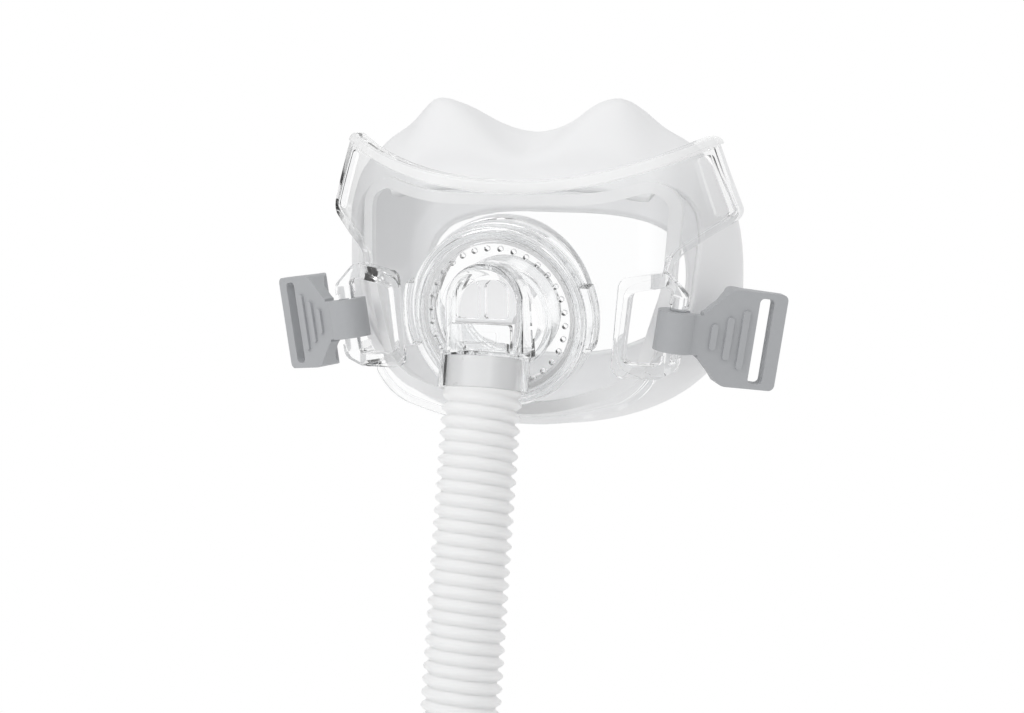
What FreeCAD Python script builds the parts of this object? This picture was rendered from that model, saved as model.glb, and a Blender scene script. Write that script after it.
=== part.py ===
import FreeCAD, Part
import math
import os

from FreeCAD import Vector

# A breathing mask: a clear moulded frame, a soft face cushion, a turning elbow with
# a ring of vent holes, a short corrugated hose and two hook clips for the straps.
# Millimetres. +X is the mask's right as seen from in front, +Y points into the face,
# +Z is up. The solids are drawn about the centre of the port, and are written about
# the centre of the seal plane, where the face holds the mask.

seal_depth = 48.0
seal_height = 3.0

# The frame's curved wall
wall = 2.0
flat_half = 15.0
side_radius = 54.0
brow_radius = 190.0

# The frame's outline, seen from in front
brow_height = 33.9
brow_arc = 109.0
brow_tangent = 25.4
brow_band = 3.5
band_raise = 0.9
band_depth = 1.6
edge_band = 1.9
edge_raise = 0.6
wing_top = (50.6, 46.2)
wing_corner = (57.9, 24.6)
waist = (43.4, 14.2)
waist_foot = (42.4, 8.2)
jaw_side = (39.8, -16.6)
jaw_corner = (33.8, -24.6)
jaw_arc = 18.0
chin_tangent = 14.0
chin_height = -29.9
chin_arc = 60.0

# The lower loops that the clips hook on
loop_front = 0.8
loop_thick = 3.4
bar_radius = 2.1
bar_x = 45.2
bar_z = -3.8
bar_tilt = 8.7
bar_length = 13.4
loop_bottom = -16.4
loop_arm = 2.7
loop_lip = 2.3
loop_round = 2.4
window_inner = 11.9
window_lean = 2.2
window_top = 5.6
window_bottom = -12.8
window_rise = 11.6
window_drop = 9.6

# The upper strap slots
slot_round = 1.2

# The port and the rings round it
port_tilt = 9.5
boss_radius = 24.7
boss_top = 1.0
boss_back = 3.0
collar_radius = 22.6
collar_bore = 20.9
collar_top = 4.0
port_bore = 19.0
seal_thick = 1.0
vent_face = 6.2
vent_plate = 1.4
vent_bore = 13.4
vent_sleeve = 1.2
vent_skirt = 1.3
vent_circle = 18.3
vent_hole = 0.7
vent_count = 32
ring_fit = 0.1
lock_wall = 1.4
lock_radius = collar_radius + ring_fit + lock_wall
lug_half = 8.5
lug_out = 2.2

# The elbow
turn_gap = 0.3
sleeve_wall = 1.9
sleeve_back = 2.2
snap_lip = 1.1
shoulder = 2.0
shoulder_thick = 1.3
arch_half = 10.4
arch_centre = 3.4
arch_front = 18.2
arch_round = 2.4
elbow_wall = 1.8
socket_tilt = 13.0
socket_y = -17.2
socket_z = -18.5
socket_radius = 11.6
socket_wall = 1.8
socket_length = 9.0

# The air-inlet windows, their flap and its retainer
window_wide = 6.2
window_high = 10.0
window_rib = 1.5
window_foot = -0.1
window_round = 2.4
flap_thick = 0.8
flap_lap = 0.7
flap_bead = 0.7
flap_rest = 35.0
clip_block_half = 8.4
clip_block_high = 6.8
clip_block_out = 2.2
clip_panel_half = 4.6
clip_panel_high = 3.0
clip_panel_deep = 0.6

# The cushion
cushion_wall = 2.2
ring_thick = 2.2
ring_width = 3.0
ring_corners = ((24.0, 30.4, 60.0), (44.5, 37.0, 8.0), (43.0, 6.0, 30.0), (35.4, -19.5, 16.0), (12.0, -27.2, 50.0))
lobe_x = 25.0
lobe_y = 20.0
lobe_splay = 0.3
lobe_inner = 12.0
lobe_outer = 6.5
dip_spread = 16.0
side_level = 6.0
low_power = 2.2
# Each row is depth, half width, top, bottom, rise of the lobes, dip between them and
# squareness of the top. The first rows go back from the port, the others are depths
# in front of the seal.
ring_sections = (
    (1.0, 36.0, 30.0, -25.5, 0.0, 0.0, 2.9),
    (12.0, 45.0, 42.5, -30.0, 4.0, 5.5, 3.0),
    (18.0, 49.5, 46.4, -32.0, 10.2, 7.0, 3.4),
)
seal_sections = (
    (23.0, 54.0, 49.8, -33.4, 6.0, 8.0, 3.4),
    (17.0, 56.0, 47.5, -34.0, 3.0, 3.0, 3.0),
    (12.0, 55.0, 47.5, -34.0, 1.5, 1.5, 2.5),
    (5.0, 51.5, 43.5, -32.5, 0.5, 0.5, 2.4),
    (0.0, 46.5, 37.0, -28.5, 0.0, 0.0, 2.4),
)
mouth_half = 36.5
mouth_top = 22.7
mouth_bottom = -16.0
mouth_round = 15.0
nose_half = 13.0
nose_reach = 4.5
nose_inset = 6.5

# The hose and what is on it
hose_radius = 10.25
hose_bore = 7.5
cuff_fit = 0.1
cuff_length = 8.0
lower_cuff_radius = 12.4
lower_cuff_length = 22.0
connector_radius = 11.0
connector_bore = 9.5
connector_length = 21.0
connector_flange = 13.2
flange_thick = 4.0

# The strap clips
clip_swing = 33.5
clip_reach = 28.2
clip_half = 12.7
clip_thick = 3.0
clip_end_thick = 2.3
neck_half = 5.2
hook_gap = 0.25
hook_wall = 2.7
strap_slot_x = 22.6
strap_slot_wide = 4.0
strap_slot_long = 22.4
rib_half_lengths = (3.4, 5.6, 7.7)
rib_first = 9.3
rib_step = 4.05
rib_wide = 1.8
rib_high = 0.7
nub_x = 14.2
nub_radius = 2.0
nub_back = 5.2

UP = Vector(0, 0, 1)
BACK = Vector(0, 1, 0)
PORT_AXIS = Vector(0, -math.cos(math.radians(port_tilt)), -math.sin(math.radians(port_tilt)))
HOSE_AXIS = Vector(0, -math.sin(math.radians(socket_tilt)), -math.cos(math.radians(socket_tilt)))
SOCKET_MOUTH = Vector(0, socket_y, socket_z)
TO_ROW = Vector(0, -seal_depth, -seal_height)
FAR = 120.0


def rounded_wire(corners, spot):
    """A closed wire through corners (x, z, radius), each turned into an arc of that radius."""
    points = [Vector(x, z, 0) for x, z, _ in corners]
    edges = []
    starts = []
    ends = []
    mids = []
    for i, (_, _, radius) in enumerate(corners):
        here = points[i]
        before = (points[i - 1] - here).normalize()
        after = (points[(i + 1) % len(points)] - here).normalize()
        half = before.getAngle(after) / 2
        if radius <= 0:
            starts.append(here)
            ends.append(here)
            mids.append(None)
            continue
        along = radius / math.tan(half)
        inward = (before + after).normalize()
        starts.append(here + before * along)
        ends.append(here + after * along)
        mids.append(here + inward * (radius / math.sin(half) - radius))
    for i in range(len(points)):
        if mids[i] is not None:
            edges.append(Part.Arc(spot(starts[i]), spot(mids[i]), spot(ends[i])).toShape())
        following = starts[(i + 1) % len(points)]
        if (following - ends[i]).Length > 1e-6:
            edges.append(Part.LineSegment(spot(ends[i]), spot(following)).toShape())
    return Part.Wire(edges)


def front_prism(corners, near=-FAR, far=FAR):
    """The solid behind a front-view outline, from Y near to Y far."""
    wire = rounded_wire(corners, lambda p: Vector(p.x, near, p.y))
    return Part.Face(wire).extrude(Vector(0, far - near, 0))


def both_sides(shape):
    """A right half joined to its mirror image."""
    return shape.fuse(shape.mirror(Vector(0, 0, 0), Vector(1, 0, 0))).removeSplitter()


def shell_between(front, back):
    """The space from `front` mm before the frame's front surface to `back` mm behind it."""
    reach = math.radians(66)
    outer = side_radius + front
    inner = side_radius - back
    low = Vector(0, side_radius, 0)
    edges = []
    for side in (1, -1):
        hub = low + Vector(side * flat_half, 0, 0)
        spots = []
        for radius in (outer, inner):
            arc = [
                hub + Vector(side * radius * math.sin(a), -radius * math.cos(a), 0)
                for a in (0, reach / 2, reach)
            ]
            edges.append(Part.Arc(*arc).toShape())
            spots.append(arc)
        edges.append(Part.LineSegment(spots[0][2], spots[1][2]).toShape())
    for y in (-front, back):
        edges.append(Part.LineSegment(Vector(-flat_half, y, 0), Vector(flat_half, y, 0)).toShape())
    face = Part.Face(Part.Wire(Part.__sortEdges__(edges)))
    swing = 24.0
    pivot = Vector(0, brow_radius, 0)
    face.rotate(pivot, Vector(1, 0, 0), -swing)
    return face.revolve(pivot, Vector(1, 0, 0), 2 * swing)


def about(axis, base):
    """The placement that turns +Z to axis, with +X kept level, and moves to base."""
    turn = FreeCAD.Rotation(Vector(1, 0, 0), axis.cross(Vector(1, 0, 0)), axis, "ZXY")
    return FreeCAD.Placement(base, turn)


def port_turned(corners):
    """A solid turned about the port axis from its (radius, height) section."""
    wire = rounded_wire([(r, t, 0) for r, t in corners], lambda p: Vector(p.x, 0, p.y))
    solid = Part.Face(wire).revolve(Vector(0, 0, 0), UP, 360)
    solid.Placement = about(PORT_AXIS, Vector(0, 0, 0))
    return solid


def port_band(inner, outer, low, high):
    return port_turned([(inner, low), (outer, low), (outer, high), (inner, high)])


def frame_outline():
    """The right half of the frame's outline, seen from in front."""
    return [
        (0, brow_height, 0),
        (brow_tangent, brow_height, brow_arc),
        (*wing_top, 2.4),
        (*wing_corner, 3.4),
        (*waist, 6.0),
        (*waist_foot, 0.8),
        (*window_corners()[0],),
        (*window_corners()[3],),
        (*jaw_side, 2.0),
        (*jaw_corner, jaw_arc),
        (chin_tangent, chin_height, chin_arc),
        (0, chin_height, 0),
    ]


def bar_point(along):
    """A point on the right loop's bar, `along` mm above its middle."""
    lean = math.radians(bar_tilt)
    y = loop_front + loop_thick / 2
    return Vector(bar_x + along * math.sin(lean), y, bar_z + along * math.cos(lean))


def window_corners():
    """The right loop's window, inner top corner first, clockwise."""
    top = bar_point(window_rise)
    foot = bar_point(-window_drop)
    inner = bar_x - window_inner
    return [
        (inner, window_top, 2.2),
        (top.x - bar_radius, top.z, 1.4),
        (foot.x - bar_radius, foot.z, 1.8),
        (inner - window_lean, window_bottom, 2.4),
    ]


def loop():
    """The right lower loop: a flat frame of two arms and a round bar."""
    window = window_corners()
    top = bar_point(window_rise - 2.6)
    foot = bar_point(-window_drop - 0.8)
    outline = [
        (window[0][0] - loop_arm, window_top + loop_arm + 1.0, 3.0),
        (waist[0], window_top + 2 * loop_arm + 0.2, loop_round),
        (top.x + loop_lip, top.z, loop_round),
        (foot.x + loop_lip, foot.z, 3.2),
        (foot.x - 2.6, loop_bottom, 2.0),
        (window[3][0] - loop_arm, loop_bottom, 3.0),
    ]
    back = loop_front + loop_thick
    plate = front_prism(outline, loop_front, back).cut(front_prism(window))
    walls = front_prism(outline, loop_front, FAR).cut(front_prism(window))
    limit = Part.makeBox(60, FAR, 60, Vector(waist_foot[0] - 60, loop_front, -30))
    walls = walls.common(limit).common(shell_between(20, wall))
    axis = bar_point(1) - bar_point(0)
    room = Part.makeBox(9, FAR, bar_length, Vector(-4.5, -FAR / 2, -bar_length / 2))
    room.Placement = FreeCAD.Placement(bar_point(0), FreeCAD.Rotation(BACK, bar_tilt))
    bar = Part.makeCylinder(bar_radius, bar_length + 4, bar_point(-bar_length / 2 - 2), axis)
    return plate.fuse(walls).cut(room).fuse(bar)


def strap_slot():
    """The right wing's slot for the upper strap, leaning outward as it goes down."""
    corners = [(47.2, 39.9), (49.8, 41.0), (55.3, 25.4), (52.1, 24.5)]
    return front_prism([(x, z, slot_round) for x, z in corners])


def edge_rim():
    """The raised band round the frame's edge."""
    full = both_sides(front_prism(frame_outline(), 0, 1))
    face = [f for f in full.Faces if f.BoundBox.YMax < 1e-6][0]
    outer = Part.Face(face.OuterWire)
    inner = outer.makeOffset2D(-edge_band, 0, False, False, False)
    ring = outer.cut(inner)
    ring.translate(Vector(0, -FAR / 2, 0))
    return ring.extrude(Vector(0, FAR, 0)).common(shell_between(edge_raise, wall + 0.6))


def brow_rim():
    """The thick lip along the frame's top edge, from wing to wing."""
    outline = [
        (0, brow_height, 0),
        (brow_tangent, brow_height, brow_arc),
        (*wing_top, 2.4),
        (52.2, 43.4, 0.4),
        (49.8, 42.9, 0.4),
        (brow_tangent + 0.8, brow_height - brow_band, brow_arc + brow_band),
        (0, brow_height - brow_band, 0),
    ]
    return both_sides(front_prism(outline)).common(shell_between(band_raise, wall + band_depth))


def frame():
    wall_solid = both_sides(front_prism(frame_outline())).common(shell_between(0, wall))
    loops = loop()
    loops = [loops, loops.mirror(Vector(0, 0, 0), Vector(1, 0, 0))]
    before_back = shell_between(30, wall)
    boss = port_band(0, boss_radius, -12, boss_top).common(before_back)
    lip = port_band(port_bore, boss_radius, -boss_back, boss_top)
    collar = port_band(collar_bore, collar_radius, -boss_back, collar_top)
    body = wall_solid.fuse(loops + [boss, lip, collar, edge_rim(), brow_rim()])
    slot = strap_slot()
    slots = [slot, slot.mirror(Vector(0, 0, 0), Vector(1, 0, 0))]
    bore = port_band(0, port_bore, -20, 20)
    counterbore = port_band(0, collar_bore, 0, 20)
    ring_room = port_band(collar_radius, lock_radius + turn_gap, boss_top, 20)
    return body.cut(slots + [bore, counterbore, ring_room]).removeSplitter()


def cushion_ring(frame_solid):
    """The hard ring behind the frame that carries the soft cushion, seated inside its rims."""
    outline = [(0, ring_corners[0][1], 0), *ring_corners, (0, ring_corners[-1][1], 0)]
    ring = both_sides(front_prism(outline, -20, 40))
    face = [f for f in ring.Faces if f.BoundBox.YMax < -20 + 1e-6][0]
    inner = Part.Face(face.OuterWire).makeOffset2D(-ring_width, 0, False, False, False)
    ring = ring.cut(inner.extrude(Vector(0, 60, 0)))
    ring = ring.common(shell_between(-wall, wall + ring_thick))
    return ring.cut([port_band(0, boss_radius + turn_gap, -8, 8), frame_solid])


def cushion_section(y, half, top, bottom, lobe, dip, high_power, inset):
    """A closed section across the cushion: a soft rectangle with two nose lobes and a dip."""
    points = []
    count = 28
    crest = lobe_x + lobe_splay * (y - lobe_y)
    for i in range(count):
        a = 2 * math.pi * i / count
        up = math.sin(a) >= 0
        power = high_power if up else low_power
        reach = (top - side_level if up else side_level - bottom) - inset
        scale = (abs(math.cos(a)) ** power + abs(math.sin(a)) ** power) ** (-1 / power)
        x = (half - inset) * scale * math.cos(a)
        z = side_level + reach * scale * math.sin(a)
        spread = lobe_inner if abs(x) < crest else lobe_outer
        rise = lobe * math.exp(-(((abs(x) - crest) / spread) ** 2))
        rise = rise - dip * math.exp(-((x / dip_spread) ** 2))
        points.append(Vector(x, y, z + rise * max(math.sin(a), 0) ** 0.5))
    curve = Part.BSplineCurve()
    steps = [i / count for i in range(count + 1)]
    curve.interpolate(Points=points, PeriodicFlag=True, Parameters=steps)
    return Part.Wire(curve.toShape())


def cushion_body(inset):
    """The cushion's outer form, or its hollow where inset is the wall."""
    rows = list(ring_sections) + [(seal_depth - row[0], *row[1:]) for row in seal_sections]
    if inset:
        rows[0] = (rows[0][0] - 0.5, *rows[0][1:])
        rows[-1] = (seal_depth - inset, *rows[-1][1:])
    return Part.makeLoft([cushion_section(*row, inset) for row in rows], True, True)


def cushion():
    """The soft cushion: a hollow wall, a rolled seal and an opening for the mouth."""
    body = cushion_body(0)
    hollow = cushion_body(cushion_wall)
    mouth = [
        (0, mouth_top, 0),
        (mouth_half, mouth_top, mouth_round),
        (mouth_half, mouth_bottom, mouth_round),
        (0, mouth_bottom, 0),
    ]
    opening = both_sides(front_prism(mouth, seal_depth - 12, seal_depth + 10))
    nostrils = Part.Ellipse(Vector(0, seal_depth - nose_inset, mouth_top), nose_half, nose_reach)
    nose_opening = Part.Face(Part.Wire(nostrils.toShape())).extrude(UP * FAR)
    front = shell_between(40, wall + ring_thick)
    return body.cut([hollow, opening, nose_opening, front])


def port_seal():
    """The soft gasket between the frame's counterbore and the vent ring."""
    return port_band(port_bore, collar_bore - ring_fit, 0, seal_thick)


def vent_ring():
    """The fixed ring of vent holes round the elbow, with a sleeve that the elbow turns in."""
    low = vent_face - vent_plate
    skirt = port_band(collar_bore - ring_fit - vent_skirt, collar_bore - ring_fit, seal_thick, vent_face)
    plate = port_band(vent_bore, collar_bore - ring_fit, low, vent_face)
    rest = port_band(collar_bore - ring_fit, collar_radius, collar_top, vent_face - 0.6)
    sleeve = port_band(vent_bore, vent_bore + vent_sleeve, -sleeve_back, vent_face)
    ring = plate.fuse([skirt, rest, sleeve])
    hole = Part.makeCylinder(vent_hole, 3 * vent_plate, Vector(vent_circle, 0, low - vent_plate), UP)
    hole.Placement = about(PORT_AXIS, Vector(0, 0, 0)).multiply(hole.Placement)
    holes = []
    for i in range(vent_count):
        copy = hole.copy()
        copy.rotate(Vector(0, 0, 0), PORT_AXIS, (i + 0.5) * 360 / vent_count)
        holes.append(copy)
    return ring.cut(holes).removeSplitter()


def lock_ring():
    """The ring that locks the vent ring down, with a finger lug on each side."""
    inner = collar_radius + ring_fit
    outer = lock_radius
    ring = port_band(inner, outer, boss_top, collar_top)
    tabs = port_band(collar_radius - 1.3, outer, vent_face - 0.6, vent_face + 0.6)
    link = port_band(inner, outer, collar_top, vent_face)
    lugs = Part.makeBox(2 * (outer + lug_out), 2 * lug_half, vent_face - boss_top)
    lugs.translate(Vector(-outer - lug_out, -lug_half, boss_top))
    lugs = lugs.makeFillet(1.2, [e for e in lugs.Edges if e.BoundBox.ZLength > 3])
    lugs.Placement = about(PORT_AXIS, Vector(0, 0, 0)).multiply(lugs.Placement)
    lugs = lugs.common(port_band(outer - 0.2, outer + lug_out, 0, FAR / 10))
    return ring.fuse([tabs, link, lugs]).removeSplitter()


def arch(half, front, top_round):
    """The elbow's upper housing: a round-topped block that reaches `front` mm forward."""
    foot = socket_z + 2.0
    outline = [
        (0, arch_centre + half, 0),
        (half, arch_centre + half, half * 0.98),
        (half, foot, 0),
        (0, foot, 0),
    ]
    block = both_sides(front_prism(outline, -front, -2.0))
    if top_round:
        rim = [e for e in block.Edges if e.BoundBox.YMax < 1e-4 - front and e.BoundBox.ZMax > foot + 1e-3]
        block = block.makeFillet(top_round, rim)
    return block


def elbow():
    """The clear turning elbow: sleeve, shoulder, housing and hose socket, hollow inside."""
    sleeve_out = vent_bore - ring_fit
    sleeve_in = sleeve_out - sleeve_wall
    rear = -sleeve_back - turn_gap - shoulder_thick
    sleeve = port_band(0, sleeve_out, rear, vent_face + turn_gap)
    lip = port_band(0, sleeve_out + snap_lip, rear, -sleeve_back - turn_gap)
    flange_low = vent_face + turn_gap
    flange = port_band(0, sleeve_out + shoulder, flange_low, flange_low + shoulder_thick)
    in_front = port_band(0, FAR / 2, flange_low, FAR / 2)
    top = SOCKET_MOUTH - HOSE_AXIS * socket_length
    socket = Part.makeCylinder(socket_radius, socket_length, top, HOSE_AXIS)
    housing = arch(arch_half, arch_front, arch_round)
    lid = Part.makeBox(60, 60, 40, Vector(-30, -50, top.z - 41))
    body = housing.cut(lid).fuse(socket).common(in_front)
    body = body.fuse([sleeve, lip, flange])
    way = port_band(0, sleeve_in, rear - 1, flange_low + 2.5)
    inside = arch(arch_half - elbow_wall, arch_front - elbow_wall, 0)
    inside = inside.common(port_band(0, FAR / 2, flange_low + 0.4, FAR / 2))
    inside = inside.cut(Part.makeBox(60, 60, 40, Vector(-30, -50, top.z - 39.5)))
    throat = Part.makeCylinder(hose_bore, 14, top - HOSE_AXIS * 3, HOSE_AXIS)
    seat = Part.makeCylinder(socket_radius - socket_wall, cuff_length, SOCKET_MOUTH - HOSE_AXIS * cuff_length, HOSE_AXIS)
    seat = seat.fuse(Part.makeCylinder(socket_radius - socket_wall, 5, SOCKET_MOUTH, HOSE_AXIS))
    return body.cut([way, inside, throat, seat] + elbow_windows()).removeSplitter()


def elbow_windows():
    """The two rounded windows in the housing's front, either side of a rib."""
    middle = (window_wide + window_rib) / 2
    windows = []
    for side in (-1, 1):
        x0 = side * middle - window_wide / 2
        x1 = side * middle + window_wide / 2
        z0 = window_foot
        z1 = window_foot + window_high
        inner_round = window_round
        outer_round = 1.5 * window_round
        rounds = (outer_round, inner_round) if side < 0 else (inner_round, outer_round)
        corners = [(x0, z1, rounds[0]), (x1, z1, rounds[1]), (x1, z0, 1.0), (x0, z0, 1.0)]
        windows.append(front_prism(corners, -arch_front - 3, -arch_front + elbow_wall + 0.05))
    return windows


def valve_flap():
    """The thin flap behind the windows; it hinges at its foot and falls open when air stops."""
    half = window_wide + window_rib / 2 + flap_lap
    near = -arch_front + elbow_wall + turn_gap
    z0 = window_foot - flap_lap
    z1 = window_foot + window_high + flap_lap
    corners = [(-half, z1, 5.5), (half, z1, 5.5), (half, z0, 0.3), (-half, z0, 0.3)]
    leaf = front_prism(corners, near, near + flap_thick)
    hinge = Vector(0, near + flap_bead, z0)
    bead = Part.makeCylinder(flap_bead, 2 * half, hinge - Vector(half, 0, 0), Vector(1, 0, 0))
    flap = leaf.fuse(bead).removeSplitter()
    flap.rotate(hinge, Vector(1, 0, 0), -flap_rest)
    print("flap hinge", [round(v, 3) for v in hinge + TO_ROW])
    return flap


def valve_clip():
    """The block in front of the housing, under the windows, that holds the flap's foot."""
    top = window_foot - 1.2
    foot = top - clip_block_high
    corners = [
        (-clip_block_half, top, 0.8),
        (clip_block_half, top, 0.8),
        (clip_block_half, foot, 0.8),
        (-clip_block_half, foot, 0.8),
    ]
    block = front_prism(corners, -arch_front - clip_block_out, -arch_front)
    middle = (top + foot) / 2
    z0 = middle - clip_panel_high / 2
    z1 = middle + clip_panel_high / 2
    panel = [
        (-clip_panel_half, z1, 0.5),
        (clip_panel_half, z1, 0.5),
        (clip_panel_half, z0, 0.5),
        (-clip_panel_half, z0, 0.5),
    ]
    face = -arch_front - clip_block_out
    block = block.cut(front_prism(panel, face - 1, face + clip_panel_deep))
    return block.cut(Part.makeCylinder(socket_radius, socket_length, SOCKET_MOUTH, HOSE_AXIS * -1))


def hose_cuff_upper():
    """The smooth cuff on the hose's upper end, seated in the elbow's socket."""
    start = SOCKET_MOUTH - HOSE_AXIS * cuff_length
    cuff = Part.makeCylinder(socket_radius - socket_wall - cuff_fit, cuff_length, start, HOSE_AXIS)
    return cuff.cut(Part.makeCylinder(hose_bore, cuff_length + 2, start - HOSE_AXIS, HOSE_AXIS))


def hose_route():
    """The hose's points: straight down and forward from the socket, then nearly upright."""
    runs = [(92.0, socket_tilt), (96.0, 7.0), (90.0, 2.0)]
    points = [SOCKET_MOUTH]
    for length, lean in runs:
        a = math.radians(lean)
        points.append(points[-1] + Vector(0, -math.sin(a), -math.cos(a)) * length)
    return points


def hose_path(points):
    """Straight runs joined by tangent arcs, each as large as its two runs allow."""
    edges = []
    last = points[0]
    for before, here, after in zip(points, points[1:], points[2:]):
        back = (before - here).normalize()
        on = (after - here).normalize()
        turn = math.pi - back.getAngle(on)
        shorter = min((before - here).Length, (after - here).Length)
        radius = 0.45 * shorter / math.tan(turn / 2)
        print("hose arc radius", round(radius, 1))
        along = 0.45 * shorter
        middle = (back + on).normalize()
        rise = radius / math.cos(turn / 2) - radius
        edges.append(Part.LineSegment(last, here + back * along).toShape())
        edges.append(Part.Arc(here + back * along, here + middle * rise, here + on * along).toShape())
        last = here + on * along
    edges.append(Part.LineSegment(last, points[-1]).toShape())
    return Part.Wire(edges)


def hose_tube():
    """The corrugated hose as a plain tube along its route."""
    points = hose_route()
    path = hose_path(points)
    tubes = []
    for radius in (hose_radius, hose_bore):
        ring = Part.Wire(Part.Circle(points[0], HOSE_AXIS, radius).toShape())
        tubes.append(path.makePipeShell([ring], True, False))
    tube = tubes[0].cut(tubes[1])
    section = math.pi * (hose_radius**2 - hose_bore**2)
    print("hose length", round(path.Length, 1), "volume ratio", round(tube.Volume / (section * path.Length), 4))
    return tube


def hose_end():
    """The point and direction where the hose ends."""
    points = hose_route()
    return points[-1], (points[-1] - points[-2]).normalize()


def hose_cuff_lower():
    """The smooth cuff on the hose's lower end, with a seat for the swivelling connector."""
    end, way = hose_end()
    cuff = Part.makeCylinder(lower_cuff_radius, lower_cuff_length, end, way)
    cuff = cuff.makeChamfer(0.8, [e for e in cuff.Edges if len(e.Vertexes) == 1])
    bore = Part.makeCylinder(hose_bore, lower_cuff_length + 2, end - way, way)
    seat = Part.makeCylinder(connector_radius - 1.0 + ring_fit, 12.0, end + way * (lower_cuff_length - 10), way)
    return cuff.cut([bore, seat])


def swivel_connector():
    """The turning tapered-size end that the long air tube pushes onto."""
    end, way = hose_end()
    base = end + way * (lower_cuff_length + turn_gap)
    print("connector base", [round(v, 3) for v in base + TO_ROW], "axis", [round(v, 5) for v in way])
    flange = Part.makeCylinder(connector_flange, flange_thick, base, way)
    flange = flange.makeChamfer(0.6, [e for e in flange.Edges if len(e.Vertexes) == 1])
    spout = Part.makeCylinder(connector_radius, connector_length, base + way * flange_thick, way)
    spigot = Part.makeCylinder(connector_radius - 1.0, 9.0, base - way * 9.0, way)
    throat = Part.makeCylinder(hose_bore + 1.0, FAR, base - way * 20, way)
    bore = Part.makeCylinder(connector_bore, FAR, base + way * 0.5, way)
    return flange.fuse([spout, spigot]).cut([throat, bore])


def clip_section():
    """The clip seen along the bar: hook, neck, wedge plate and rear bead, x outward, y back."""
    inner = bar_radius + hook_gap
    outer = inner + hook_wall
    front = -clip_thick / 2 - 1.6
    hook = Part.makeCylinder(outer, 2 * neck_half, Vector(0, 0, -neck_half), UP)
    neck = Part.makeBox(
        nub_x, clip_thick, 2 * neck_half, Vector(0, front - 0.2, -neck_half)
    )
    hook = hook.fuse(neck).cut(Part.makeCylinder(inner, FAR, Vector(0, 0, -FAR / 2), UP))
    mouth = Part.makeBox(12, 2 * bar_radius - 0.7, FAR, Vector(1.6, bar_radius * -0.42, -FAR / 2))
    return hook.cut(mouth), front - 0.2


def clip():
    """The right clip about its bar: +X outward along the plate, +Z along the bar."""
    hook, front = clip_section()
    back_end = front + clip_end_thick
    back_root = front + clip_thick
    side = [
        Vector(6.0, front, 0),
        Vector(clip_reach, front, 0),
        Vector(clip_reach, back_end, 0),
        Vector(nub_x + 2.2, front + nub_back, 0),
        Vector(nub_x - 1.6, front + nub_back, 0),
        Vector(nub_x - 4.4, back_root, 0),
        Vector(6.0, back_root, 0),
    ]
    wedge = Part.Face(Part.makePolygon(side + side[:1]))
    wedge.translate(Vector(0, 0, -clip_half))
    wedge = wedge.extrude(Vector(0, 0, 2 * clip_half))
    nub = Part.makeCylinder(nub_radius, 2 * clip_half, Vector(nub_x, front + nub_back - 0.6, -clip_half), UP)
    outline = [
        (4.0, neck_half, 0),
        (6.4, neck_half + 0.8, 4.0),
        (13.2, clip_half, 4.0),
        (clip_reach, clip_half, 1.6),
        (clip_reach, -clip_half, 1.6),
        (13.2, -clip_half, 4.0),
        (6.4, -neck_half - 0.8, 4.0),
        (4.0, -neck_half, 0),
    ]
    plate = wedge.fuse(nub).common(front_prism(outline, -30, 30))
    half = strap_slot_wide / 2
    tall = strap_slot_long / 2
    slot = [
        (strap_slot_x - half, tall, 1.2),
        (strap_slot_x + half, tall, 1.2),
        (strap_slot_x + half, -tall, 1.2),
        (strap_slot_x - half, -tall, 1.2),
    ]
    solid = plate.fuse(hook).cut(front_prism(slot, -30, 30))
    ribs = []
    for i, length in enumerate(rib_half_lengths):
        x = rib_first + i * rib_step
        end = rib_wide / 2
        shape = [
            (x - end, length, end * 0.9),
            (x + end, length, end * 0.9),
            (x + end, -length, end * 0.9),
            (x - end, -length, end * 0.9),
        ]
        ribs.append(front_prism(shape, front - rib_high, front + 0.5))
    return solid.fuse(ribs).removeSplitter()


def placed_clip():
    """The right clip hooked on its bar and swung back as the straps pull it."""
    solid = clip()
    axis = bar_point(1) - bar_point(0)
    solid.rotate(Vector(0, 0, 0), UP, clip_swing)
    solid.rotate(Vector(0, 0, 0), BACK, bar_tilt)
    solid.translate(bar_point(0))
    row = bar_point(0) + TO_ROW
    print("clip axis", [round(v, 5) for v in axis], "through", [round(v, 3) for v in row])
    return solid


def write(name, shape):
    """One solid of the mask to its own file, moved to the row's origin."""
    solid = shape.copy()
    solid.translate(TO_ROW)
    print(name, len(solid.Solids), solid.isValid(), round(solid.Volume, 1))
    solid.exportStep("parts/" + name + ".step")


os.makedirs("parts", exist_ok=True)
right_clip = placed_clip()
frame_solid = frame()
write("frame", frame_solid)
write("cushion_ring", cushion_ring(frame_solid))
write("cushion", cushion())
write("port_seal", port_seal())
write("vent_ring", vent_ring())
write("lock_ring", lock_ring())
write("elbow", elbow())
write("valve_flap", valve_flap())
write("valve_clip", valve_clip())
write("hose_cuff_upper", hose_cuff_upper())
write("hose_tube", hose_tube())
write("hose_cuff_lower", hose_cuff_lower())
write("swivel_connector", swivel_connector())
write("clip_right", right_clip)
write("clip_left", right_clip.mirror(Vector(0, 0, 0), Vector(1, 0, 0)))
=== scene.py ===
import math

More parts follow.
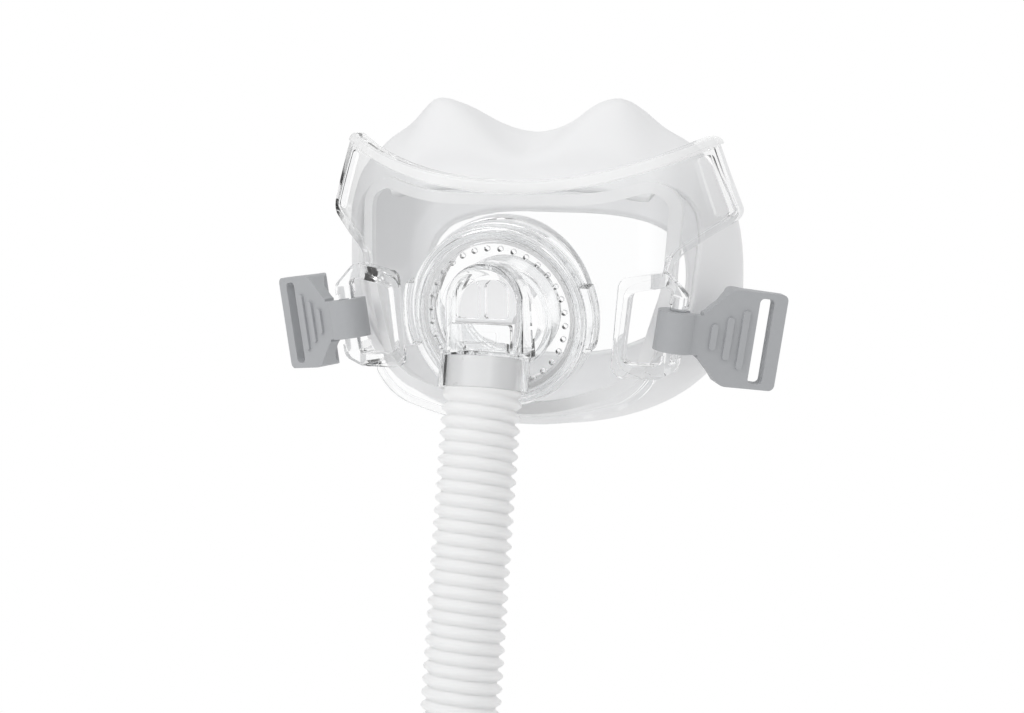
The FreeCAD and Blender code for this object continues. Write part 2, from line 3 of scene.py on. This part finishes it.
import bpy
import numpy as np
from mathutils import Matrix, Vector


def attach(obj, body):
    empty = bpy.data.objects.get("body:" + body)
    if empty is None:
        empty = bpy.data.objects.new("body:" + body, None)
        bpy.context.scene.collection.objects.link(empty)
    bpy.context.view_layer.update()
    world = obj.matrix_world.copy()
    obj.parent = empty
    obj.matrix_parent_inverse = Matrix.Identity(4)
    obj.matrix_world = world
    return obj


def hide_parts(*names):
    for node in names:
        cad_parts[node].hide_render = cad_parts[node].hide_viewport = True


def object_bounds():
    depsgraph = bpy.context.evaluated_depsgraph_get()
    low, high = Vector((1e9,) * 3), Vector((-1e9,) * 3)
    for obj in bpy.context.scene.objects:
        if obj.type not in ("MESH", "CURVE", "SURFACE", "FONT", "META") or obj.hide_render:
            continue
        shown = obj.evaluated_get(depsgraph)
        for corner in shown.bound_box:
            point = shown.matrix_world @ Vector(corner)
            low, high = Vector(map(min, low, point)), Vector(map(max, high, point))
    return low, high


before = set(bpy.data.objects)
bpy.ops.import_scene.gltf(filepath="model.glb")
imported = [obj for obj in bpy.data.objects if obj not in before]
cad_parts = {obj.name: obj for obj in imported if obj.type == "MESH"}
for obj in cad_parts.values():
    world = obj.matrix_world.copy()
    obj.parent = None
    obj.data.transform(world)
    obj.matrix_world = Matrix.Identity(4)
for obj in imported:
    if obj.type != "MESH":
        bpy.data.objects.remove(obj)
cad_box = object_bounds()

# Places below are in millimetres about the centre of the mask's port, as the moulding is
# drawn: +X right as seen from in front, +Y towards the face, +Z up.
SEAL_DEPTH = 48.0
SEAL_HEIGHT = 3.0


def at(x, y, z):
    """A port-centred point in millimetres as a row-frame point in metres."""
    return Vector((x / 1000, (y - SEAL_DEPTH) / 1000, (z - SEAL_HEIGHT) / 1000))


# The camera
VIEW_AZIMUTH = 19.0
VIEW_ELEVATION = 7.5
FOCAL_PIXELS = 2190.0
PHOTO_SIZE = (1024, 713)
PORT_PIXEL = (505.0, 311.0)
PORT_DISTANCE = 0.573
SENSOR_WIDTH = 36.0
NEAR_CLIP = 0.01


def make_camera():
    """The photo's camera, placed from its angles and from where it sees the port's centre."""
    az = math.radians(VIEW_AZIMUTH)
    el = math.radians(VIEW_ELEVATION)
    back = Vector((math.sin(az) * math.cos(el), -math.cos(az) * math.cos(el), math.sin(el)))
    right = Vector((math.cos(az), math.sin(az), 0))
    up = back.cross(right)
    dx = (PORT_PIXEL[0] - PHOTO_SIZE[0] / 2) / FOCAL_PIXELS * PORT_DISTANCE
    dy = (PHOTO_SIZE[1] / 2 - PORT_PIXEL[1]) / FOCAL_PIXELS * PORT_DISTANCE
    data = bpy.data.cameras.new("camera")
    data.sensor_width = SENSOR_WIDTH
    data.lens = FOCAL_PIXELS / PHOTO_SIZE[0] * data.sensor_width
    data.clip_start = NEAR_CLIP
    camera = bpy.data.objects.new("camera", data)
    bpy.context.scene.collection.objects.link(camera)
    camera.location = at(0, 0, 0) + back * PORT_DISTANCE - right * dx - up * dy
    camera.rotation_euler = (-back).to_track_quat("-Z", "Y").to_euler()
    bpy.context.scene.camera = camera


# The materials
NOISE_RANGE = (0.3, 0.7)
BUMP_DEPTH = 0.0002
# how much light a clear or a soft part lets straight through, and what part of it the soft does
CLEAR_SHARE = 0.97
SOFT_SHARE = 0.98
SOFT_PART = 0.75
# the painted highlight along the frame's brow, a white band, in millimetres: its top edge is
# BROW_HEIGHT plus
# BROW_CURVE times the square of the distance from the middle
BROW_HEIGHT = 33.9
BROW_CURVE = 0.00459
BAND_TOP = (0.1, 0.7)
BAND_FOOT = (2.9, 3.6)
HIGHLIGHT_WHITE = 0.6


def node(tree, kind, **sockets):
    """A shader node; the keywords are its sockets."""
    made = tree.nodes.new(kind)
    for name, value in sockets.items():
        made.inputs[name.replace("_", " ")].default_value = value
    return made


def principled(name, **sockets):
    """A material with one Principled shader; the keywords are its sockets."""
    material = bpy.data.materials.new(name)
    material.use_nodes = True
    shader = material.node_tree.nodes["Principled BSDF"]
    for key, value in sockets.items():
        shader.inputs[key.replace("_", " ")].default_value = value
    return material, material.node_tree, shader


def math_node(tree, operation, first, second=None, third=None):
    """One sum on sockets or plain numbers, with its result."""
    made = tree.nodes.new("ShaderNodeMath")
    made.operation = operation
    for i, value in enumerate((first, second, third)):
        if isinstance(value, (int, float)):
            made.inputs[i].default_value = value
        elif value is not None:
            tree.links.new(value, made.inputs[i])
    return made.outputs["Value"]


def ranged(tree, value, start, end):
    """A socket's value spread from the range `start` to the range `end`."""
    made = node(
        tree,
        "ShaderNodeMapRange",
        From_Min=start[0],
        From_Max=start[1],
        To_Min=end[0],
        To_Max=end[1],
    )
    tree.links.new(value, made.inputs["Value"])
    return made.outputs["Result"]


def moulded(tree, shader, rough, spread, scale, bump):
    """Fine unevenness of a moulded surface, in its roughness and its bump."""
    place = tree.nodes.new("ShaderNodeTexCoord")
    noise = node(tree, "ShaderNodeTexNoise", Scale=scale, Detail=3.0)
    tree.links.new(place.outputs["Object"], noise.inputs["Vector"])
    uneven = ranged(tree, noise.outputs["Fac"], NOISE_RANGE, (max(rough - spread, 0.0), rough + spread))
    tree.links.new(uneven, shader.inputs["Roughness"])
    dent = node(tree, "ShaderNodeBump", Strength=bump, Distance=BUMP_DEPTH)
    tree.links.new(noise.outputs["Fac"], dent.inputs["Height"])
    tree.links.new(dent.outputs["Normal"], shader.inputs["Normal"])
    return noise


def lets_light_through(tree, shader, share, part=1.0):
    """Lets the studio's light, or a part of it, pass straight through to what is behind."""
    path = tree.nodes.new("ShaderNodeLightPath")
    either = math_node(tree, "MAXIMUM", path.outputs["Is Shadow Ray"], path.outputs["Is Diffuse Ray"])
    if part < 1:
        either = math_node(tree, "MULTIPLY", either, part)
    open_way = node(tree, "ShaderNodeBsdfTransparent", Color=(share, share, share, 1))
    mixed = tree.nodes.new("ShaderNodeMixShader")
    tree.links.new(either, mixed.inputs["Fac"])
    tree.links.new(shader.outputs["BSDF"], mixed.inputs[1])
    tree.links.new(open_way.outputs["BSDF"], mixed.inputs[2])
    tree.links.new(mixed.outputs["Shader"], tree.nodes["Material Output"].inputs["Surface"])


def clear_plastic(name="clear_plastic"):
    """Clear, polished plastic."""
    material, tree, shader = principled(
        name,
        Base_Color=(0.985, 0.988, 0.99, 1),
        IOR=1.5,
        Transmission_Weight=1.0,
    )
    moulded(tree, shader, 0.03, 0.02, 60.0, 0.05)
    lets_light_through(tree, shader, CLEAR_SHARE)
    return material


def frosted_plastic():
    """The cushion's ring: clear plastic with a matt skin."""
    material, tree, shader = principled(
        "frosted_plastic",
        Base_Color=(0.97, 0.972, 0.976, 1),
        IOR=1.3,
        Transmission_Weight=0.35,
    )
    moulded(tree, shader, 0.5, 0.05, 90.0, 0.05)
    lets_light_through(tree, shader, SOFT_SHARE, SOFT_PART)
    return material


def frame_plastic_painted_highlight():
    """The frame's clear plastic, with a painted highlight: a white band along its brow."""
    material = clear_plastic("frame_plastic_painted_highlight")
    tree = material.node_tree
    shader = tree.nodes["Principled BSDF"]
    place = tree.nodes.new("ShaderNodeTexCoord")
    split = tree.nodes.new("ShaderNodeSeparateXYZ")
    tree.links.new(place.outputs["Object"], split.inputs["Vector"])
    x = math_node(tree, "MULTIPLY", split.outputs["X"], 1000.0)
    z = math_node(tree, "MULTIPLY_ADD", split.outputs["Z"], 1000.0, SEAL_HEIGHT)
    x_squared = math_node(tree, "POWER", x, 2.0)
    edge = math_node(tree, "MULTIPLY_ADD", x_squared, BROW_CURVE, BROW_HEIGHT)
    below = math_node(tree, "SUBTRACT", edge, z)
    foot = ranged(tree, below, BAND_FOOT, (1.0, 0.0))
    top = ranged(tree, below, BAND_TOP, (0.0, 1.0))
    highlight_band = math_node(tree, "MULTIPLY", foot, top)
    # painted highlight: the band lets less light through, so it reads as a white sheen
    clear = math_node(tree, "MULTIPLY_ADD", highlight_band, -HIGHLIGHT_WHITE, 1.0)
    tree.links.new(clear, shader.inputs["Transmission Weight"])
    return material


def silicone():
    """The soft, frosted silicone."""
    material, tree, shader = principled(
        "silicone",
        Base_Color=(0.93, 0.933, 0.94, 1),
        IOR=1.41,
        Transmission_Weight=0.08,
    )
    moulded(tree, shader, 0.45, 0.05, 90.0, 0.05)
    lets_light_through(tree, shader, SOFT_SHARE, SOFT_PART)
    return material


def hose_plastic():
    """The hose's satin white plastic."""
    material, tree, shader = principled(
        "hose_plastic",
        Base_Color=(0.96, 0.96, 0.96, 1),
        IOR=1.45,
        Subsurface_Weight=0.3,
        Subsurface_Radius=(1.0, 0.95, 0.92),
        Subsurface_Scale=0.002,
    )
    moulded(tree, shader, 0.35, 0.05, 140.0, 0.08)
    return material


def cuff_plastic():
    """The cuffs' pale satin plastic."""
    material, tree, shader = principled(
        "cuff_plastic",
        Base_Color=(0.95, 0.953, 0.958, 1),
        IOR=1.45,
        Transmission_Weight=0.15,
    )
    moulded(tree, shader, 0.3, 0.05, 120.0, 0.06)
    return material


def grey_plastic():
    """The clips' grey matt plastic, a little uneven in its grey."""
    material, tree, shader = principled(
        "grey_plastic", Base_Color=(0.45, 0.46, 0.475, 1), IOR=1.46, Specular_IOR_Level=0.4
    )
    noise = moulded(tree, shader, 0.5, 0.06, 700.0, 0.12)
    tint = node(tree, "ShaderNodeMix")
    tint.data_type = "RGBA"
    tint.inputs["A"].default_value = (0.435, 0.445, 0.46, 1)
    tint.inputs["B"].default_value = (0.465, 0.475, 0.49, 1)
    tree.links.new(noise.outputs["Fac"], tint.inputs["Factor"])
    tree.links.new(tint.outputs["Result"], shader.inputs["Base Color"])
    return material


# The soft edges, in millimetres and degrees
WELD_REACH = 0.001
FLAT_ANGLE = 0.5
EDGE_ANGLE = 32
EDGE_STEPS = 3


def welded_group():
    """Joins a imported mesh's split corners, so that its edges can be rounded."""
    group = bpy.data.node_groups.new("welded", "GeometryNodeTree")
    for way in ("INPUT", "OUTPUT"):
        group.interface.new_socket("Geometry", in_out=way, socket_type="NodeSocketGeometry")
    last = group.nodes.new("NodeGroupInput").outputs[0]
    merge = group.nodes.new("GeometryNodeMergeByDistance")
    merge.inputs["Distance"].default_value = WELD_REACH / 1000
    plain = group.nodes.new("GeometryNodeRemoveAttribute")
    plain.inputs["Name"].default_value = "custom_normal"
    smooth = group.nodes.new("GeometryNodeSetShadeSmooth")
    for step in (merge, plain, smooth, group.nodes.new("NodeGroupOutput")):
        group.links.new(last, step.inputs[0])
        last = step.outputs[0] if step.outputs else None
    return group


def soften(piece, width, inset=0.0):
    """Rounds a CAD piece's sharp edges by `width` mm, as a mould does, and draws it in by `inset`."""
    weld = piece.modifiers.new("weld", "NODES")
    weld.node_group = WELDED
    if inset:
        gap = piece.modifiers.new("inset", "DISPLACE")
        gap.strength = -inset / 1000
        gap.mid_level = 0.0
    flat = piece.modifiers.new("flat", "DECIMATE")
    flat.decimate_type = "DISSOLVE"
    flat.angle_limit = math.radians(FLAT_ANGLE)
    bevel = piece.modifiers.new("soft_edges", "BEVEL")
    bevel.width = width / 1000
    bevel.segments = EDGE_STEPS
    bevel.limit_method = "ANGLE"
    bevel.angle_limit = math.radians(EDGE_ANGLE)
    bevel.use_clamp_overlap = True
    bevel.harden_normals = True


def mesh_piece(name, points, faces, material, body):
    """A smooth piece of its own mesh, riding on `body`."""
    data = bpy.data.meshes.new(name)
    data.from_pydata([tuple(p) for p in points], [], faces)
    data.update()
    data.polygons.foreach_set("use_smooth", [True] * len(data.polygons))
    data.materials.append(material)
    piece = bpy.data.objects.new(name, data)
    bpy.context.scene.collection.objects.link(piece)
    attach(piece, body)
    return piece


# The hose
HOSE_POINTS = [
    at(0, -17.2, -18.5),
    at(0, -37.895, -108.142),
    at(0, -49.595, -203.426),
    at(0, -52.736, -293.371),
]
HOSE_RADIUS = 10.25
HOSE_GROOVE = 1.7
HOSE_PITCH = 3.27
HOSE_LENGTH = 0.2779
HOSE_WALL = 0.9
HOSE_SIDES = 48
RINGS_A_TURN = 8
HOSE_LINE_STEPS = 64
CREST_POWER = 0.62
END_REACH = 3.0
END_DROP = 0.3


def route_line(points, count):
    """Points along the smooth NURBS curve that has the route's points as controls."""
    curve = bpy.data.curves.new("route", "CURVE")
    curve.dimensions = "3D"
    curve.resolution_u = count
    spline = curve.splines.new("NURBS")
    spline.points.add(len(points) - 1)
    for control, point in zip(spline.points, points):
        control.co = (*point, 1)
    spline.order_u = 3
    spline.use_endpoint_u = True
    holder = bpy.data.objects.new("route", curve)
    line = bpy.data.meshes.new_from_object(holder)
    found = np.array([v.co for v in line.vertices])
    bpy.data.objects.remove(holder)
    return found


def evenly(line, count):
    """The line's points spread evenly along its length, with that length."""
    steps = np.linalg.norm(np.diff(line, axis=0), axis=1)
    along = np.concatenate([[0], np.cumsum(steps)])
    wanted = np.linspace(0, along[-1], count)
    return np.stack([np.interp(wanted, along, line[:, k]) for k in range(3)], 1), along[-1]


def tube_faces(rings, sides):
    """The four-cornered faces of an open tube, ring by ring."""
    faces = []
    for i in range(rings):
        for j in range(sides):
            k = (j + 1) % sides
            faces.append((i * sides + j, i * sides + k, (i + 1) * sides + k, (i + 1) * sides + j))
    return faces


def hose_points(line, length, rings):
    """The hose's skin: one spiral ridge that fades out at both ends."""
    ahead = np.gradient(line, axis=0)
    ahead /= np.linalg.norm(ahead, axis=1)[:, None]
    side = np.array([1.0, 0, 0])
    across = np.cross(ahead, side)
    angles = np.linspace(0, 2 * math.pi, HOSE_SIDES, endpoint=False)
    along = np.linspace(0, length * 1000, rings + 1)
    phase = along[:, None] / HOSE_PITCH * 2 * math.pi + angles[None, :]
    ridge = 0.5 + 0.5 * np.cos(phase)
    ends = np.minimum(along, along[-1] - along)[:, None]
    fade = np.clip(ends / END_REACH, 0, 1)
    radius = HOSE_RADIUS - HOSE_GROOVE * (1 - ridge**CREST_POWER) * fade - END_DROP * (1 - fade)
    ring = np.cos(angles)[None, :, None] * side + np.sin(angles)[None, :, None] * across[:, None, :]
    return (line[:, None, :] + ring * radius[..., None] / 1000).reshape(-1, 3)


def hose():
    """The corrugated hose along its route."""
    rings = round(HOSE_LENGTH * 1000 / HOSE_PITCH) * RINGS_A_TURN
    line, length = evenly(route_line(HOSE_POINTS, HOSE_LINE_STEPS), rings + 1)
    points = hose_points(line, length, rings)
    faces = tube_faces(rings, HOSE_SIDES)
    piece = mesh_piece("hose", points, faces, MATERIALS["hose_plastic"], "elbow")
    wall = piece.modifiers.new("wall", "SOLIDIFY")
    wall.thickness = HOSE_WALL / 1000
    wall.offset = -1
    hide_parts("hose_tube")
    return piece


# The cushion
SIDE_LEVEL = 6.0
LOBE_X = 25.0
LOBE_Y = 20.0
LOBE_SPLAY = 0.3
LOBE_INNER = 15.0
LOBE_OUTER = 8.0
LOBE_ROUND = 2.2
DIP_SPREAD = 18.0
RIDGE_Y = 12.5
RIDGE_CURVE = 0.0075
RIDGE_RISE = 0.7
RIDGE_WIDTH = 2.4
VALLEY_DROP = 0.6
VALLEY_BACK = 6.0
VALLEY_WIDTH = 3.2
RISE_POWER = 0.5
LOW_POWER = 2.2
CUSHION_WALL = 1.9
RING_CLEAR = 4.3
# depth, half width, top, bottom, lobes' rise, dip and squareness, from the ring to the mouth
CUSHION_SECTIONS = [
    (1.0, 36.0, 30.0, -25.5, 0.0, 0.0, 2.9),
    (10.0, 43.5, 34.8, -29.4, 1.2, 1.4, 3.0),
    (12.5, 45.3, 42.5, -30.2, 4.0, 5.0, 3.0),
    (18.0, 49.5, 46.4, -32.0, 10.2, 4.6, 3.4),
    (25.0, 54.0, 49.8, -33.4, 6.4, 4.2, 3.4),
    (31.0, 56.0, 47.5, -34.0, 3.6, 2.2, 3.0),
    (36.0, 55.0, 47.0, -34.0, 1.5, 1.5, 2.5),
    (43.0, 51.5, 43.5, -32.5, 0.5, 0.5, 2.4),
    (47.6, 46.0, 36.5, -28.0, 0.0, 0.0, 2.5),
    (47.6, 42.0, 30.0, -22.5, 0.0, 0.0, 2.7),
    (46.4, 38.8, 25.4, -18.4, 0.0, 0.0, 2.9),
    (45.0, 37.0, 23.0, -16.2, 0.0, 0.0, 3.0),
]
NOSE_HALF = 13.0
NOSE_REACH = 4.5
NOSE_Y = 41.5
NOSE_FLOOR = 26.0
NOT_NEAR = 9.0
CUSHION_SIDES = 192
CUSHION_ALONG = 60
CUSHION_ROWS = 500
ROWS_AT_RING = 3
# the frame's front surface: a flat middle, rounded sides and an upright curve
FLAT_HALF = 15.0
SIDE_RADIUS = 54.0
SIDE_REACH = 50.0
UPRIGHT_RADIUS = 190.0


def smooth_rows(rows, count):
    """Rows of numbers joined by a smooth curve through each of them."""
    rows = np.array(rows, float)
    padded = np.vstack([2 * rows[0] - rows[1], rows, 2 * rows[-1] - rows[-2]])
    out = []
    for s in np.linspace(0, len(rows) - 1, count):
        i = min(int(s), len(rows) - 2)
        t = s - i
        a, b, c, d = padded[i : i + 4]
        bend = (2 * a - 5 * b + 4 * c - d) * t**2 + (3 * b - a - 3 * c + d) * t**3
        out.append(0.5 * (2 * b + (c - a) * t + bend))
    return np.array(out)


def cushion_point(row, a):
    """The point at angle a round one section."""
    y, half, top, bottom, lobe, dip, squareness = row
    up = math.sin(a) >= 0
    power = squareness if up else LOW_POWER
    reach = top - SIDE_LEVEL if up else SIDE_LEVEL - bottom
    scale = (abs(math.cos(a)) ** power + abs(math.sin(a)) ** power) ** (-1 / power)
    x = half * scale * math.cos(a)
    z = SIDE_LEVEL + reach * scale * math.sin(a)
    crest = LOBE_X + LOBE_SPLAY * (y - LOBE_Y)
    spread = LOBE_INNER if abs(x) < crest else LOBE_OUTER
    rise = lobe * math.exp(-(abs((abs(x) - crest) / spread) ** LOBE_ROUND))
    rise -= dip * math.exp(-((x / DIP_SPREAD) ** 2))
    back = y - RIDGE_Y - RIDGE_CURVE * x * x
    ridge = RIDGE_RISE * math.exp(-((back / RIDGE_WIDTH) ** 2))
    valley = VALLEY_DROP * math.exp(-(((back - VALLEY_BACK) / VALLEY_WIDTH) ** 2))
    return x, y, z + (rise + (ridge - valley)) * max(math.sin(a), 0) ** RISE_POWER


def wall_depth(x, z):
    """Depth of the frame's front surface at (x, z)."""
    out = min(max(abs(x) - FLAT_HALF, 0.0), SIDE_REACH)
    side = SIDE_RADIUS - math.sqrt(max(SIDE_RADIUS**2 - out**2, 1.0))
    reach = UPRIGHT_RADIUS - side
    return UPRIGHT_RADIUS - math.sqrt(max(reach**2 - z * z, 1.0))


def nose_distance(p):
    """Under 1 inside the opening for the nostrils."""
    if p[2] < NOSE_FLOOR:
        return NOT_NEAR
    return math.hypot(p[0] / NOSE_HALF, (p[1] - NOSE_Y) / NOSE_REACH)


def cushion_lines():
    """Evenly spread points from the ring to the mouth, for each angle round the cushion."""
    rows = smooth_rows(CUSHION_SECTIONS, CUSHION_ROWS)
    lines = []
    for j in range(CUSHION_SIDES):
        a = 2 * math.pi * (j + 0.5) / CUSHION_SIDES
        line = np.array([cushion_point(r, a) for r in rows])
        clear = [p[1] - wall_depth(p[0], p[2]) - RING_CLEAR for p in line]
        start = next(i for i, gap in enumerate(clear) if gap > 0 and i > ROWS_AT_RING)
        lines.append(evenly(line[start:], CUSHION_ALONG)[0])
    return np.array(lines)


def nose_edge(p):
    """The point, moved out to the nose opening's edge when it lies inside."""
    d = nose_distance(p)
    if d < 1:
        p[0] /= d
        p[1] = NOSE_Y + (p[1] - NOSE_Y) / d
    return p


def cushion():
    """The soft cushion, from the hard ring round the girth and the seal to the mouth."""
    lines = cushion_lines()
    faces = []
    for j in range(CUSHION_SIDES):
        k = (j + 1) % CUSHION_SIDES
        for i in range(CUSHION_ALONG - 1):
            quad = [(j, i), (j, i + 1), (k, i + 1), (k, i)]
            if nose_distance(sum(lines[q] for q in quad) / 4) > 1:
                faces.append([q[0] * CUSHION_ALONG + q[1] for q in quad])
    used = sorted({v for face in faces for v in face})
    place = {v: i for i, v in enumerate(used)}
    verts = [at(*nose_edge(lines[v // CUSHION_ALONG, v % CUSHION_ALONG].copy())) for v in used]
    faces = [[place[v] for v in face] for face in faces]
    piece = mesh_piece("face_cushion", verts, faces, MATERIALS["silicone"], "mask")
    wall = piece.modifiers.new("wall", "SOLIDIFY")
    wall.thickness = CUSHION_WALL / 1000
    wall.offset = -1
    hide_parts("cushion")
    return piece


# The rigid pieces keep their solids: the finish and the soft edges' width in millimetres
RIGID = {
    "frame": ("frame_plastic_painted_highlight", 0.5),
    "cushion_ring": ("frosted_plastic", 0.2),
    "port_seal": ("silicone", 0.1),
    "vent_ring": ("clear_plastic", 0.12),
    "lock_ring": ("clear_plastic", 0.25),
    "elbow": ("clear_plastic", 0.25),
    "valve_flap": ("silicone", 0.1),
    "valve_clip": ("clear_plastic", 0.2),
    "hose_cuff_upper": ("cuff_plastic", 0.3),
    "hose_cuff_lower": ("cuff_plastic", 0.3),
    "swivel_connector": ("clear_plastic", 0.3),
    "clip_right": ("grey_plastic", 0.35),
    "clip_left": ("grey_plastic", 0.35),
}

# These touch their neighbours face to face, so they are drawn in by a hair's breadth
TOUCHING = ("valve_clip", "port_seal", "hose_cuff_upper", "cushion_ring")
INSET = 0.02


def dress_rigid():
    """Gives each rigid piece its finish and its soft edges."""
    for name, (finish, width) in RIGID.items():
        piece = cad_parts[name]
        piece.data.materials.clear()
        piece.data.materials.append(MATERIALS[finish])
        soften(piece, width, INSET if name in TOUCHING else 0.0)


# The floor, the lamps and the white surroundings
FLOOR_DROP = 0.012
FLOOR_HALF = 6.0
DOME = 0.75
SIDE_FLAG = 0.05
TOP_FLAG = 0.15
SIDE_FLAG_FADE = (0.55, 0.75)
TOP_FLAG_FADE = (0.6, 0.8)
LAMP_SIZE = 0.8
LAMPS = (("key", 5.0, (-0.7, -1.0, 0.9)), ("fill", 0.8, (0.9, -0.9, 0.4)))
WHITE = (1, 1, 1, 1)


def seen_clear(tree):
    """1 for what the camera sees directly, by gloss or through clear parts, and 0 for light."""
    path = tree.nodes.new("ShaderNodeLightPath")
    total = path.outputs["Is Camera Ray"]
    for name in ("Is Glossy Ray", "Is Transmission Ray"):
        total = math_node(tree, "MAXIMUM", total, path.outputs[name])
    return total


def studio_world():
    """Even white light, with dark flags beside and above that only clear and glossy parts show."""
    world = bpy.data.worlds.new("studio")
    bpy.context.scene.world = world
    world.use_nodes = True
    tree = world.node_tree
    tree.nodes.clear()
    out = tree.nodes.new("ShaderNodeOutputWorld")
    place = tree.nodes.new("ShaderNodeTexCoord")
    split = tree.nodes.new("ShaderNodeSeparateXYZ")
    tree.links.new(place.outputs["Generated"], split.inputs["Vector"])
    aside = math_node(tree, "ABSOLUTE", split.outputs["X"])
    beside = ranged(tree, aside, SIDE_FLAG_FADE, (1.0, SIDE_FLAG))
    above = ranged(tree, split.outputs["Z"], TOP_FLAG_FADE, (1.0, TOP_FLAG))
    path = tree.nodes.new("ShaderNodeLightPath")
    flagged = math_node(tree, "MULTIPLY", beside, above)
    strength = node(tree, "ShaderNodeMix")
    tree.links.new(path.outputs["Is Diffuse Ray"], strength.inputs["Factor"])
    tree.links.new(flagged, strength.inputs["A"])
    strength.inputs["B"].default_value = DOME
    dome = node(tree, "ShaderNodeBackground", Color=WHITE)
    tree.links.new(strength.outputs["Result"], dome.inputs["Strength"])
    white = node(tree, "ShaderNodeBackground", Color=WHITE, Strength=1.0)
    mixed = tree.nodes.new("ShaderNodeMixShader")
    tree.links.new(path.outputs["Is Camera Ray"], mixed.inputs["Fac"])
    tree.links.new(dome.outputs["Background"], mixed.inputs[1])
    tree.links.new(white.outputs["Background"], mixed.inputs[2])
    tree.links.new(mixed.outputs["Shader"], out.inputs["Surface"])


def studio_floor():
    """A plain white floor under the hose's end."""
    low = cad_box[0][2] - FLOOR_DROP
    r = FLOOR_HALF
    data = bpy.data.meshes.new("floor")
    data.from_pydata([(-r, -r, low), (r, -r, low), (r, r, low), (-r, r, low)], [], [(0, 1, 2, 3)])
    floor = bpy.data.objects.new("floor", data)
    bpy.context.scene.collection.objects.link(floor)
    material, tree, shader = principled("floor", Base_Color=(0.9, 0.9, 0.9, 1), Roughness=0.9)
    white = node(tree, "ShaderNodeEmission", Color=WHITE, Strength=1.0)
    mixed = tree.nodes.new("ShaderNodeMixShader")
    tree.links.new(seen_clear(tree), mixed.inputs["Fac"])
    tree.links.new(shader.outputs["BSDF"], mixed.inputs[1])
    tree.links.new(white.outputs["Emission"], mixed.inputs[2])
    tree.links.new(mixed.outputs["Shader"], tree.nodes["Material Output"].inputs["Surface"])
    data.materials.append(material)


def studio_lamps():
    """Two large lamps aimed at the mask, the stronger one from the left."""
    for name, power, spot in LAMPS:
        data = bpy.data.lights.new(name, "AREA")
        data.size = LAMP_SIZE
        data.energy = power
        lamp = bpy.data.objects.new(name, data)
        bpy.context.scene.collection.objects.link(lamp)
        lamp.location = spot
        lamp.visible_glossy = False
        lamp.rotation_euler = (-Vector(spot)).to_track_quat("-Z", "Y").to_euler()


make_camera()
WELDED = welded_group()
MATERIALS = {
    "clear_plastic": clear_plastic(),
    "frame_plastic_painted_highlight": frame_plastic_painted_highlight(),
    "frosted_plastic": frosted_plastic(),
    "silicone": silicone(),
    "hose_plastic": hose_plastic(),
    "cuff_plastic": cuff_plastic(),
    "grey_plastic": grey_plastic(),
}
hose()
cushion()
dress_rigid()
studio_world()
studio_floor()
studio_lamps()

bpy.context.scene.view_settings.view_transform = "Standard"
# clear walls one behind another need many bounces
bpy.context.scene.cycles.max_bounces = 32
bpy.context.scene.cycles.transmission_bounces = 32
bpy.context.scene.cycles.diffuse_bounces = 12
bpy.context.scene.cycles.glossy_bounces = 8
